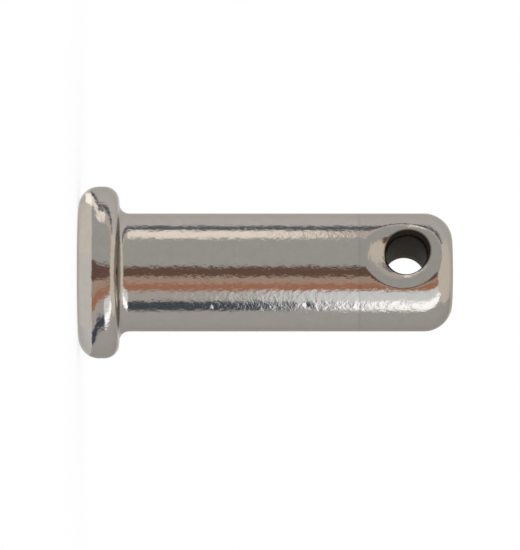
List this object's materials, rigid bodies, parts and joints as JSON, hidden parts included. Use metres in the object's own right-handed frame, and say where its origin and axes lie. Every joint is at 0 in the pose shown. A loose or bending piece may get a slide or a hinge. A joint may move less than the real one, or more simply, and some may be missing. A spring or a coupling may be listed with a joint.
{
  "type": "clevis pin",
  "caption": "Round headed pin with a straight shank, a rounded tip and a countersunk cross hole for a cotter.",
  "frame": {"origin": "middle of the head's flat outer face, on which the pin stands", "axes": "+Z along the pin from its head to its tip; Y along the cross hole; -X towards the side on which the hole sits off centre"},
  "size_m": [0.0116, 0.0116, 0.0254],
  "materials": {
    "plated_steel": "bright nickel plating over tumbled steel, with a fine ripple and a few small nicks"
  },
  "bodies": {
    "root": {"clevis_pin": "plated_steel"}
  },
  "joints": []
}
